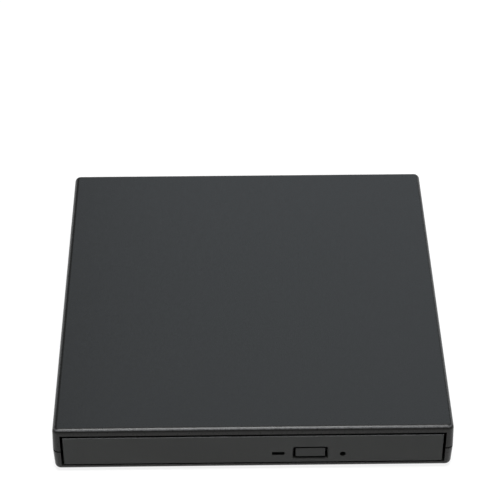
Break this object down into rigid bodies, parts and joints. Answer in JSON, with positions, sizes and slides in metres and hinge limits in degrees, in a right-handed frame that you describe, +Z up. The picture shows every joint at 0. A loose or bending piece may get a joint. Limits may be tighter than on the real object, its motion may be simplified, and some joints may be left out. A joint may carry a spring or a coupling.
{
  "type": "external disc drive",
  "caption": "Flat black plastic case with rounded edges around a tray-loading slim disc drive, with an eject button, a lamp window, a data socket and a power socket.",
  "frame": {"origin": "on the table, under the middle of the case", "axes": "+Y from the bezel to the sockets at the rear, +Z up, +X to the right seen from the front"},
  "size_m": [0.1406, 0.1466, 0.02],
  "materials": {
    "case_plastic": "fine satin texture",
    "bezel_plastic": "fine satin texture",
    "tray_plastic": "satin",
    "dark_plastic": "satin",
    "pale_plastic": "satin",
    "lamp_plastic": "smoked gloss",
    "rubber": "matt",
    "sheet_steel": "zinc plated",
    "machined_steel": "ground",
    "screw_steel": "plated",
    "magnesium": "die cast",
    "brass": "plain",
    "copper_wire": "enamelled",
    "circuit_board": "solder resist",
    "lens_glass": "coated"
  },
  "bodies": {
    "case": {"top_cover": "case_plastic", "bottom_cover": "case_plastic", "rubber_feet": "rubber", "case_screws": "screw_steel", "drive_screws": "screw_steel", "bridge_board": "circuit_board", "bridge_board_parts": "dark_plastic", "usb_shell": "sheet_steel", "usb_insert": "pale_plastic", "usb_contacts": "brass", "dc_jack": "dark_plastic", "dc_pin": "machined_steel", "board_connector": "dark_plastic", "drive_base": "sheet_steel", "drive_lid": "sheet_steel", "rail_guides": "pale_plastic", "main_board": "circuit_board", "main_board_parts": "dark_plastic", "drive_connector": "pale_plastic", "flex_cable": "pale_plastic", "latch_post": "machined_steel"},
    "left_rail": {"left_rail": "sheet_steel"},
    "right_rail": {"right_rail": "sheet_steel"},
    "tray": {"tray": "tray_plastic", "bezel": "bezel_plastic", "led_window": "lamp_plastic", "tray_board": "circuit_board", "tray_board_parts": "pale_plastic", "eject_switch": "dark_plastic", "traverse_frame": "sheet_steel", "traverse_cover": "dark_plastic", "damper_bushes": "rubber", "traverse_screws": "screw_steel", "spindle_base": "sheet_steel", "bearing_sleeve": "brass", "stator_core": "sheet_steel", "stator_coils": "copper_wire", "main_guide_rod": "machined_steel", "sub_guide_rod": "machined_steel", "feed_motor": "sheet_steel", "solenoid_frame": "sheet_steel", "solenoid_coil": "copper_wire", "latch_pin": "machined_steel", "ejector_spring": "machined_steel"},
    "button": {"eject_button": "bezel_plastic"},
    "spindle": {"rotor_cup": "sheet_steel", "rotor_magnet": "dark_plastic", "spindle_shaft": "machined_steel", "turntable": "dark_plastic", "turntable_mat": "rubber", "chuck_claws": "pale_plastic"},
    "sled": {"pickup_sled": "magnesium", "feed_nut": "pale_plastic", "actuator_yoke": "sheet_steel", "laser_diode": "brass"},
    "lens": {"lens_holder": "dark_plastic", "objective_lens": "lens_glass"},
    "screw": {"lead_screw": "machined_steel"},
    "latch": {"latch_lever": "sheet_steel"},
    "ejector": {"ejector_rod": "pale_plastic"}
  },
  "joints": [
    {"name": "tray_slide", "type": "slide", "parent": "case", "child": "tray", "axis": [0, -1, 0], "range_m": [0, 0.128], "deforming": ["flex_cable"]},
    {"name": "left_rail_slide", "type": "slide", "parent": "case", "child": "left_rail", "axis": [0, -1, 0], "range_m": [0, 0.064]},
    {"name": "right_rail_slide", "type": "slide", "parent": "case", "child": "right_rail", "axis": [0, -1, 0], "range_m": [0, 0.064]},
    {"name": "eject_press", "type": "slide", "parent": "tray", "child": "button", "axis": [0, 1, 0], "range_m": [0, 0.0006], "stiffness_N_per_m": 1500},
    {"name": "spindle_spin", "type": "hinge", "parent": "tray", "child": "spindle", "pos_m": [0, -0.0065, 0.009], "axis": [0, 0, 1], "continuous": true},
    {"name": "sled_slide", "type": "slide", "parent": "tray", "child": "sled", "axis": [-0.7071, -0.7071, 0], "range_m": [0, 0.034]},
    {"name": "screw_spin", "type": "hinge", "parent": "tray", "child": "screw", "pos_m": [0.01237, -0.01887, 0.007], "axis": [-0.7071, -0.7071, 0], "range_deg": [0, 4080.1]},
    {"name": "lens_focus", "type": "slide", "parent": "sled", "child": "lens", "axis": [0, 0, 1], "range_m": [-0.0004, 0.0004], "stiffness_N_per_m": 30},
    {"name": "latch_swing", "type": "hinge", "parent": "tray", "child": "latch", "pos_m": [0.038, -0.0626, 0.007], "axis": [0, 0, 1], "range_deg": [0, 18]},
    {"name": "ejector_push", "type": "slide", "parent": "tray", "child": "ejector", "axis": [0, 1, 0], "range_m": [0, 0.01], "deforming": ["ejector_spring"]}
  ],
  "couplings": [
    {"joint": "left_rail_slide", "follows": "tray_slide", "ratio": 0.5},
    {"joint": "right_rail_slide", "follows": "tray_slide", "ratio": 0.5},
    {"joint": "ejector_push", "follows": "tray_slide", "ratio": 0.078125},
    {"joint": "screw_spin", "follows": "sled_slide", "rad_per_m": 2094.4}
  ]
}
